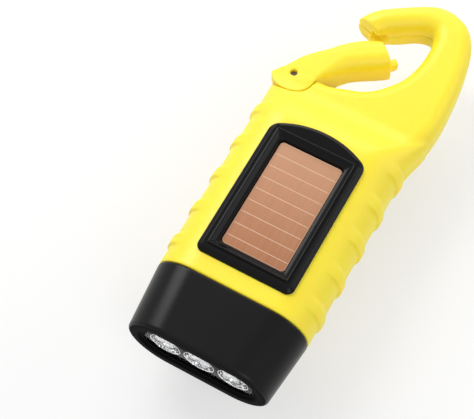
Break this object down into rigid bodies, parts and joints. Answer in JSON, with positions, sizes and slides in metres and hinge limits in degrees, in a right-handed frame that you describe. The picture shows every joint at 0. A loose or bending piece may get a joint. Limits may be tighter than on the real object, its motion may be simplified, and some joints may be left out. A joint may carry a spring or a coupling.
{
  "type": "hand crank flashlight",
  "caption": "Pocket flashlight with a folding hand crank on its back, a solar panel in its front, LEDs behind an oval window and a spring-gated carabiner hook at the top.",
  "frame": {"origin": "bottom centre of the bounding box, on the surface that the crank arm lies on", "axes": "+X across the case towards the hook's spine, +Y from the lens to the hook, +Z from the crank on the back to the solar cell on the front"},
  "size_m": [0.0526, 0.1366, 0.0362],
  "materials": {
    "yellow_plastic": "satin moulded",
    "black_plastic": "satin moulded",
    "gloss_black_plastic": "polished",
    "clear_plastic": "clear polished",
    "black_rubber": "matt",
    "bright_plating": "metallised mirror coat",
    "led_resin": "clear resin",
    "circuit_board": "solder mask",
    "solar_laminate": "laminated",
    "white_nylon": "moulded",
    "steel": "plated",
    "brass": "machined",
    "copper_wire": "enamelled winding",
    "magnet": "sintered",
    "battery_sleeve": "shrink sleeve",
    "red_insulation": "insulated"
  },
  "bodies": {
    "case": {"front_shell": "yellow_plastic", "back_shell": "yellow_plastic", "lower_left_screw": "steel", "lower_right_screw": "steel", "upper_left_screw": "steel", "upper_right_screw": "steel", "hook_spine_screw": "steel", "hook_nose_screw": "steel", "gate_spring": "steel", "head_cap": "black_plastic", "lens": "clear_plastic", "lens_gasket": "black_rubber", "reflector": "bright_plating", "left_led": "led_resin", "middle_led": "led_resin", "right_led": "led_resin", "led_board": "circuit_board", "solar_bezel": "gloss_black_plastic", "solar_pad": "black_rubber", "solar_cell": "solar_laminate", "first_axle": "steel", "second_axle": "steel", "gearbox_plate": "white_nylon", "generator_can": "steel", "generator_coil": "copper_wire", "crank_bush": "brass", "switch_body": "black_plastic", "battery": "battery_sleeve", "battery_tab_plus": "steel", "battery_tab_minus": "steel", "main_board": "circuit_board", "left_board_screw": "steel", "right_board_screw": "steel", "led_wire_black": "black_rubber", "led_wire_red": "red_insulation"},
    "crank": {"crank_shaft": "steel", "crank_gear": "white_nylon", "crank_arm": "black_plastic", "hub_screw": "steel", "knob_fold_pin": "steel"},
    "first_step": {"first_gear": "white_nylon"},
    "second_step": {"second_gear": "white_nylon"},
    "rotor": {"rotor_shaft": "steel", "rotor_pinion": "brass", "rotor_magnet": "magnet"},
    "bracket": {"knob_bracket": "black_plastic", "knob_axle": "steel"},
    "knob": {"crank_knob": "black_plastic"},
    "gate": {"gate": "yellow_plastic", "gate_pin": "steel"},
    "button": {"button_cap": "black_rubber", "switch_stem": "white_nylon"}
  },
  "joints": [
    {"name": "crank_turn", "type": "hinge", "parent": "case", "child": "crank", "pos_m": [-0.00082, -0.02379, 0.008], "axis": [0, 0, 1], "continuous": true},
    {"name": "first_gear_turn", "type": "hinge", "parent": "case", "child": "first_step", "pos_m": [0.00743, -0.0095, 0.015], "axis": [0, 0, 1], "continuous": true},
    {"name": "second_gear_turn", "type": "hinge", "parent": "case", "child": "second_step", "pos_m": [0.00514, 0.0035, 0.017], "axis": [0, 0, 1], "continuous": true},
    {"name": "rotor_turn", "type": "hinge", "parent": "case", "child": "rotor", "pos_m": [-0.00806, 0.0035, 0.022], "axis": [0, 0, 1], "continuous": true},
    {"name": "knob_fold", "type": "hinge", "parent": "crank", "child": "bracket", "pos_m": [-0.00082, 0.01421, 0.004], "axis": [1, 0, 0], "range_deg": [0, 90]},
    {"name": "knob_spin", "type": "hinge", "parent": "bracket", "child": "knob", "pos_m": [-0.00082, 0.002, 0.004], "axis": [0, 1, 0], "continuous": true},
    {"name": "gate_hinge", "type": "hinge", "parent": "case", "child": "gate", "pos_m": [-0.02012, 0.02441, 0.0219], "axis": [0, 0, 1], "range_deg": [0, 21.6], "stiffness_Nm_per_rad": 0.05, "springref_deg": 51.57, "deforming": ["gate_spring"]},
    {"name": "button_press", "type": "slide", "parent": "case", "child": "button", "axis": [0, 0, 1], "range_m": [0, 0.001], "stiffness_N_per_m": 500, "springref_m": -0.001}
  ],
  "couplings": [
    {"joint": "first_gear_turn", "follows": "crank_turn", "ratio": -4},
    {"joint": "second_gear_turn", "follows": "crank_turn", "ratio": 12},
    {"joint": "rotor_turn", "follows": "crank_turn", "ratio": -36}
  ]
}
